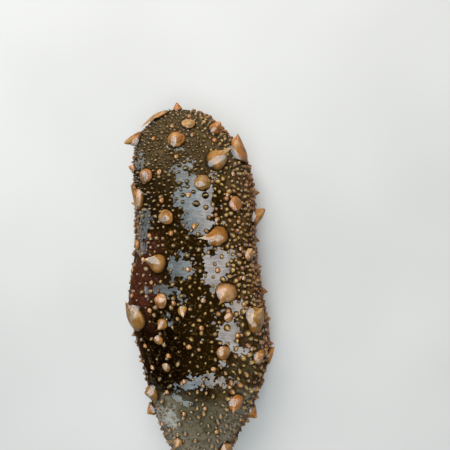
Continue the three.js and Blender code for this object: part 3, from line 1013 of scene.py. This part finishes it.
def ground_colour(place):
    """The skin's colour between its pimples, which changes along and across the body."""
    across, forward = across_and_forward(place)
    centred = difference(noise(place, 75, 4.0), 0.5)
    wander = product(centred, EDGE_WANDER)
    forward = total(forward, wander)
    across = total(across, wander)
    turn = total(attribute(place, "turn"), product(centred, TURN_WANDER))
    tail = ranged(forward, *TAIL_FORWARD)
    colour = mixed(tail, back_colour(place, across, forward), GREY_GREEN)
    rim = ranged(noise(place, 160, 2.0), 0.3, 0.5)
    rim = product(tail, ranged(turn, *TAIL_RIM_TURN), rim)
    colour = mixed(rim, colour, PEARL_GREY)
    colour = mixed(ranged(forward, *LOW_TAIL_FORWARD, 0.0, LOW_TAIL_SHARE), colour, PEARL_GREY)
    flank = mixed(ranged(noise(place, 62, 4.0), 0.41, 0.58), FLANK_DARK, FLANK_BROWN)
    colour = mixed(ranged(turn, *FLANK_TURN), colour, flank)
    colour = mixed(ranged(turn, *SOLE_TURN), colour, OCHRE)
    fine = ranged(noise(place, 420), 0.45, 0.7, 0, 0.6)
    colour = mixed(fine, colour, BLACK_BROWN)
    plainer = product(
        ranged(across, *PLAINER_ACROSS),
        ranged(forward, *PLAINER_FROM_FRONT),
        ranged(forward, *PLAINER_FROM_REAR),
    )
    grain = ranged(noise(place, 780, 2.0), 0.56, 0.68)
    specks = product(grain, ranged(plainer, 0.0, 1.0, 0.6, 0.4))
    return mixed(specks, colour, SPECK_OLIVE)


# Water on the skin: how far the edges of the pools are frayed, in millimetres, how sharp they are, how
# near the pools come to pimples and flanks, and where drops and runs of water cling to the flanks
POOL_RAGGED, POOL_TORN = 18, 11
POOL_EDGE, POOL_BY_PIMPLE, POOL_TURN = (-0.12, 0.12), (0.0, 0.22), (0.46, 0.38)
DROP_TURN, DROP_LEVELS, DROP_EDGE = (0.30, 0.44), (0.66, 0.59), (-0.004, 0.004)
DROP_WEIGHT = 0.7
RUN_FORWARD, RUN_TURN, RUN_END_TURN = (-0.050, -0.060), (0.06, 0.2), (0.38, 0.30)
RUN_ACROSS, RUN_WEIGHTS = (-0.015, 0.015), (0.5, 0.75)

# The pools are thinner at the left, and less so on the middle of the head
LEFT_POOL_ACROSS, LEFT_POOL_SHARE = (-0.012, 0.002), 0.48
HEAD_POOL_FORWARD, HEAD_POOL_ACROSS, HEAD_POOL_SHARE = (0.030, 0.050), (-0.022, -0.010), 0.8
POOL_FLATNESS, RUN_FLATNESS = 0.97, 0.8

# What draws the runs out along the body, and what draws the streaks in the pools out across it
RUN_STRETCH = (1, 0.13, 1)
STREAK_STRETCH = (1, 5, 1)


def pool_share(place, clear, turn):
    """Standing water with ragged edges, which leaves the pimples and the flanks free."""
    ragged = swing(noise(place, 150, 2.0), POOL_RAGGED)
    torn = swing(noise(place, 520), POOL_TORN)
    depth = total(total(attribute(place, "pool"), ragged), torn)
    pool = product(ranged(depth, *POOL_EDGE), ranged(clear, *POOL_BY_PIMPLE))
    return product(pool, ranged(turn, *POOL_TURN))


def pool_thickness(place, across, forward):
    """The pools' gloss, which varies in patches and fine streaks and from side to side."""
    patches = ranged(noise(place, 90), 0.35, 0.62, 0.62, 1.0)
    left = ranged(across, *LEFT_POOL_ACROSS, LEFT_POOL_SHARE, 1.0)
    head = ranged(forward, *HEAD_POOL_FORWARD, 0.0, HEAD_POOL_SHARE)
    head = product(head, ranged(across, *HEAD_POOL_ACROSS))
    streaks = noise(vector("MULTIPLY", {0: place, 1: STREAK_STRETCH}), 230)
    streaks = ranged(streaks, 0.38, 0.60, 0.80, 1.06)
    return product(patches, larger(left, head), streaks)


def run_share(place, forward, turn):
    """Water that runs down both sides of the tail."""
    return product(
        ranged(noise(vector("MULTIPLY", {0: place, 1: RUN_STRETCH}), 420), 0.52, 0.58),
        ranged(forward, *RUN_FORWARD),
        ranged(turn, *RUN_TURN),
        ranged(turn, *RUN_END_TURN),
    )


def skin_material():
    material, shader, place = new_material("wet_skin")
    across, forward = across_and_forward(place)
    clear = attribute(place, "clear")
    turn = attribute(place, "turn")
    # Painted shade: the ground darkens toward black-brown close to each pimple and papilla
    by_pimple = ranged(clear, *SHADE_BY_PIMPLE, 0, SHADE_SHARE)
    shaded = mixed(by_pimple, ground_colour(place), BLACK_BROWN)
    grain = bump(noise(place, 900, 4.0, 0.6), 0.7, 0.0004)
    wet(shader, roughness=0.5, coat_roughness=0.04, specular=0.0)
    pool = pool_share(place, clear, turn)
    run = run_share(place, forward, turn)
    drop_noise = noise(place, 300)
    drop_level = ranged(turn, *DROP_TURN, *DROP_LEVELS)
    drops = ranged(difference(drop_noise, drop_level), *DROP_EDGE)
    run_weight = product(run, ranged(across, *RUN_ACROSS, *RUN_WEIGHTS))
    shallow = larger(product(drops, DROP_WEIGHT), run_weight)
    thick = product(pool, pool_thickness(place, across, forward))
    film = larger(thick, shallow)
    flatness = larger(product(pool, POOL_FLATNESS), product(run, RUN_FLATNESS))
    surface = bump(noise(place, 260, 2.0, 0.5), 0.1, 0.0011, levelled(flatness))
    feed(shader, {"Base Color": shaded, "Normal": grain, "Coat Weight": film, "Coat Normal": surface})
    return material


# Colours of the papillae, linear, how far light goes through their flesh, in metres, and how far their
# streaks go up and differ from one papilla to the next
GILT = (0.150, 0.088, 0.017, 1)
# The dark root: partly its own colour, partly painted shade where the papilla meets the skin
PAPILLA_ROOT_AND_SHADE = (0.050, 0.024, 0.006, 1)
# Pale of the tips, also used for the painted highlight on the pale patches
PALE_TIP_AND_HIGHLIGHT = (0.30, 0.215, 0.125, 1)
DARK_STREAK = (0.065, 0.027, 0.006, 1)
FLESH_GLOW, FLESH_GLOW_REACH = 0.5, (0.0030, 0.0013, 0.0005)
STREAK_RISE, STREAK_SHIFT = 0.9, 40

# The film on the papillae: how torn its edge is, where on the head it shrinks and by how much, where it
# sets in, how glossy a papilla is without and with it, and where and how far it lies level
FILM_TORN = 2.4
FILM_HEAD_FORWARD, FILM_HEAD_LOSS = (0.078, 0.084), 0.5
FILM_EDGE, FILM_WEIGHTS = (0.08, 0.20), (0.14, 0.9)
FILM_LEVEL_EDGE, FILM_FLATNESS = (-0.04, 0.08), 0.88


def papilla_colour(place):
    """Amber flesh by its hue, pale at the tip and in patches of thin flesh and painted highlight, with dark
    streaks and a dark root with painted shade where it meets the skin.
    """
    rise = attribute(place, "rise")
    hue = attribute(place, "hue")
    gilt = ranged(noise(place, 115, 1.0), 0.47, 0.57, 0, 0.45)
    flesh = mixed(gilt, colour_ramp(hue, tuple(HUES.values())), GILT)
    # Darker toward the root: partly the flesh's own colour, partly painted shade where the papilla meets the
    # skin
    rooted_and_shaded = mixed(ranged(rise, 0.02, 0.40), PAPILLA_ROOT_AND_SHADE, flesh)
    # Pale patches: partly thin flesh, partly painted highlight; the tip is pale of itself
    patch = ranged(noise(place, 170, 2.0), 0.50, 0.64)
    thin_flesh_and_highlight = product(patch, ranged(rise, 0.12, 0.5, 0, 0.5))
    pale = larger(thin_flesh_and_highlight, ranged(rise, 0.6, 1.0, 0, 0.35))
    pale = product(pale, ranged(hue, 0.82, 0.96, 1.0, 0.25))
    tipped = mixed(pale, rooted_and_shaded, PALE_TIP_AND_HIGHLIGHT)
    shift = product(attribute(place, "tint"), STREAK_SHIFT)
    along_axis = add(place, "ShaderNodeCombineXYZ", {
        "X": attribute(place, "around"),
        "Y": attribute(place, "about"),
        "Z": total(product(rise, STREAK_RISE), shift),
    }).outputs[0]
    streak = ranged(noise(along_axis, 2.6, 4.0), 0.5, 0.72)
    streak = product(streak, ranged(rise, 0.25, 0.8, 0.1, 0.6))
    mottle = ranged(noise(place, 210, 5.0), 0.48, 0.66, 0, 0.7)
    streaked = mixed(larger(streak, mottle), tipped, DARK_STREAK)
    return mixed(ranged(rise, 0.0, 0.07), BLACK_BROWN, streaked)


def papilla_material():
    material, shader, place = new_material("amber_papillae")
    shader.inputs["Subsurface Weight"].default_value = FLESH_GLOW
    shader.inputs["Subsurface Radius"].default_value = FLESH_GLOW_REACH
    shader.inputs["Subsurface Scale"].default_value = 1.0
    wet(shader, roughness=0.5, coat_roughness=0.17, specular=0.12)
    grain = bump(noise(place, 1100, 4.0, 0.6), 0.4, 0.0003)
    _, forward = across_and_forward(place)
    torn = swing(noise(place, 210, 4.0), FILM_TORN)
    head = ranged(forward, *FILM_HEAD_FORWARD, 0, FILM_HEAD_LOSS)
    film_level = difference(total(attribute(place, "film"), torn), head)
    film = ranged(ranged(film_level, *FILM_EDGE), 0.0, 1.0, *FILM_WEIGHTS)
    flat = levelled(ranged(film_level, *FILM_LEVEL_EDGE, 0.0, FILM_FLATNESS))
    surface = bump(noise(place, 600, 3.0, 0.6), 0.3, 0.0006, flat)
    colour = papilla_colour(place)
    feed(shader, {"Base Color": colour, "Normal": grain, "Coat Weight": film, "Coat Normal": surface})
    return material


# Colours of the pimples from foot to tip, linear, and the dusk between them. They lighten toward the tip,
# partly for the pimples' own pale tips and partly as painted highlight
DULL_PIMPLE = (
    (0.0, (0.020, 0.011, 0.004, 1)),
    (0.4, (0.075, 0.046, 0.018, 1)),
    (0.75, (0.128, 0.085, 0.038, 1)),
    (1.0, (0.178, 0.130, 0.074, 1)),
)
GOLD_PIMPLE = (
    (0.0, (0.016, 0.008, 0.002, 1)),
    (0.4, (0.070, 0.035, 0.007, 1)),
    (0.75, (0.195, 0.113, 0.021, 1)),
    (1.0, (0.275, 0.190, 0.066, 1)),
)
ORANGE_PIMPLE = (
    (0.0, (0.016, 0.007, 0.002, 1)),
    (0.4, (0.070, 0.025, 0.005, 1)),
    (0.75, (0.165, 0.062, 0.015, 1)),
    (1.0, (0.240, 0.140, 0.070, 1)),
)
PIMPLE_DUSK = (0.04, 0.02, 0.006, 1)
ORANGE_TINTS, ORANGE_TURN = (0.6, 0.85), (0.28, 0.40)


def pimple_material(name):
    material, shader, place = new_material(name)
    rise = attribute(place, "rise")
    by_chance = ranged(attribute(place, "tint"), *ORANGE_TINTS)
    low = ranged(attribute(place, "turn"), *ORANGE_TURN)
    # The ramps lighten toward the tip: pale tips in part, painted highlight in part
    gold = colour_ramp(rise, GOLD_PIMPLE)
    bright = mixed(larger(by_chance, low), gold, colour_ramp(rise, ORANGE_PIMPLE))
    warm = mixed(attribute(place, "glow"), colour_ramp(rise, DULL_PIMPLE), bright)
    dusk = ranged(noise(place, 800), 0.42, 0.68, 0, 0.6)
    mottled = mixed(dusk, warm, PIMPLE_DUSK)
    colour = mixed(ranged(rise, 0.0, 0.4), ground_colour(place), mottled)
    grain = bump(noise(place, 1500), 0.4, 0.0003)
    feed(shader, {"Base Color": colour, "Normal": grain})
    wet(shader, roughness=0.45, coat_roughness=0.16, specular=0.12, coat_weight=0.34)
    return material


# Colours of the tube feet from the skin to the sucker, and of the folds of mouth and vent, linear. The folds
# are dark in their grooves and light on their ridges: painted shade
FOOT_BROWN = (0.11, 0.058, 0.024, 1)
SUCKER_CREAM = (0.30, 0.21, 0.12, 1)
FOOT_STOPS = ((0.0, OCHRE), (0.5, FOOT_BROWN), (0.86, FOOT_BROWN), (0.95, SUCKER_CREAM), (1.0, SUCKER_CREAM))
FOLD_SHADE_STOPS = (
    (0.0, (0.06, 0.03, 0.014, 1)),
    (0.5, (0.17, 0.09, 0.04, 1)),
    (1.0, (0.32, 0.19, 0.09, 1)),
)
LIP_BROWN = (0.09, 0.045, 0.02, 1)


def foot_material():
    material, shader, place = new_material("tube_feet_skin")
    stalk = colour_ramp(attribute(place, "rise"), FOOT_STOPS)
    mottle = ranged(noise(place, 1400), 0.45, 0.7, 0, 0.6)
    grain = bump(noise(place, 1600), 0.3, 0.0003)
    feed(shader, {"Base Color": mixed(mottle, stalk, FOOT_BROWN), "Normal": grain})
    wet(shader, roughness=0.4, coat_roughness=0.1, specular=0.3)
    return material


def lip_material(name):
    material, shader, place = new_material(name)
    # Painted shade: the folds are dark in their grooves and light on their ridges
    folds = colour_ramp(attribute(place, "rise"), FOLD_SHADE_STOPS)
    mottle = ranged(noise(place, 900, 4.0), 0.45, 0.75, 0, 0.5)
    grain = bump(noise(place, 1500, 4.0), 0.4, 0.0003)
    feed(shader, {"Base Color": mixed(mottle, folds, LIP_BROWN), "Normal": grain})
    wet(shader, roughness=0.4, coat_roughness=0.1, specular=0.3)
    return material


def finish_piece(piece, material):
    piece.data.materials.append(material)
    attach(piece, "root")


# The floor: half its width in millimetres, and its two shades of grey
FLOOR_HALF = 3000.0
FLOOR_DARK = (0.28, 0.28, 0.275, 1)
FLOOR_LIGHT = (0.31, 0.31, 0.305, 1)
FLOOR_ROUGHNESS = 0.7


def floor_material():
    material, shader, place = new_material("pale_floor")
    shade = ranged(noise(place, 6, 2.0), 0.3, 0.7)
    feed(shader, {"Base Color": mixed(shade, FLOOR_DARK, FLOOR_LIGHT)})
    shader.inputs["Roughness"].default_value = FLOOR_ROUGHNESS
    return material


def build_floor():
    half = FLOOR_HALF
    points = [(-half, -half, 0), (half, -half, 0), (half, half, 0), (-half, half, 0)]
    floor = mesh_piece("floor", points, [np.array([[0, 1, 2, 3]])])
    floor.data.materials.append(floor_material())


# Soft lights: place, what each faces, size, power and colour. The back mirrors the two overhead ones,
# of which the left one is cooler
OBJECT_MIDDLE = (0, 0, 0.02)
OVERHEAD_SIZE = (0.25, 1.16)
FILL_SIZE = (0.5, 0.5)
LIGHTS = {
    "overhead_left": ((-0.185, -0.13, 1.1), (-0.185, -0.13, 0.0), OVERHEAD_SIZE, 8.3, (0.76, 0.92, 1.0)),
    "overhead_right": ((0.065, -0.13, 1.1), (0.065, -0.13, 0.0), OVERHEAD_SIZE, 8.6, (1.0, 0.98, 0.97)),
    "key": ((-0.2, 0.75, 0.75), OBJECT_MIDDLE, (0.75, 0.6), 22, (1.0, 0.97, 0.93)),
    "side_fill": ((-1.1, 0.4, 0.8), OBJECT_MIDDLE, FILL_SIZE, 3, (1, 1, 1)),
    "far_fill": ((1.1, -0.8, 0.8), OBJECT_MIDDLE, FILL_SIZE, 3, (1, 1, 1)),
}
SURROUNDINGS_COLOUR = (0.9, 0.95, 1.0, 1)
SURROUNDINGS_STRENGTH = 0.06


def add_light(name, place, target, size, power, colour):
    """A soft rectangular light that faces its target."""
    light = bpy.data.lights.new(name, "AREA")
    light.shape = "RECTANGLE"
    light.size, light.size_y = size
    light.energy = power
    light.color = colour
    lamp = bpy.data.objects.new(name, light)
    lamp.location = place
    lamp.rotation_euler = (Vector(target) - Vector(place)).to_track_quat("-Z", "Y").to_euler()
    bpy.context.scene.collection.objects.link(lamp)


def build_light():
    world = bpy.data.worlds.new("studio")
    world.use_nodes = True
    background = world.node_tree.nodes["Background"]
    background.inputs["Color"].default_value = SURROUNDINGS_COLOUR
    background.inputs["Strength"].default_value = SURROUNDINGS_STRENGTH
    bpy.context.scene.world = world
    bpy.context.scene.view_settings.view_transform = "Standard"
    for name, settings in LIGHTS.items():
        add_light(name, *settings)


# The camera looks straight down from above the middle of the view
VIEW_WIDTH = 450
FOCAL_PIXELS = 482.5
SENSOR_WIDTH = 36
CAMERA_PLACE = (0.0133, 0.0363, 0.278)
NEAREST_SEEN = 0.01


def build_camera():
    lens = bpy.data.cameras.new("camera")
    lens.sensor_width = SENSOR_WIDTH
    lens.lens = lens.sensor_width * FOCAL_PIXELS / VIEW_WIDTH
    lens.clip_start = NEAREST_SEEN
    camera = bpy.data.objects.new("camera", lens)
    camera.location = CAMERA_PLACE
    bpy.context.scene.collection.objects.link(camera)
    bpy.context.scene.camera = camera


build_camera()
build_light()
build_floor()
pimples = shaped_pimples()
build_skin(pimples["base"], pimples["radius"])
build_papillae()
in_front = pimples["along"] < PIMPLE_SPLIT
build_pimples("pimples_front", {key: values[in_front] for key, values in pimples.items()})
build_pimples("pimples_rear", {key: values[~in_front] for key, values in pimples.items()})
build_tube_feet()
build_ring("mouth", MOUTH_PLACE, MOUTH_OUTWARD, MOUTH_RADIUS, MOUTH_PIT, MOUTH_FOLDS, MOUTH_FOLD_DEPTH)
build_ring("vent", VENT_PLACE, VENT_OUTWARD, VENT_RADIUS, VENT_PIT, VENT_FOLDS, VENT_FOLD_DEPTH)
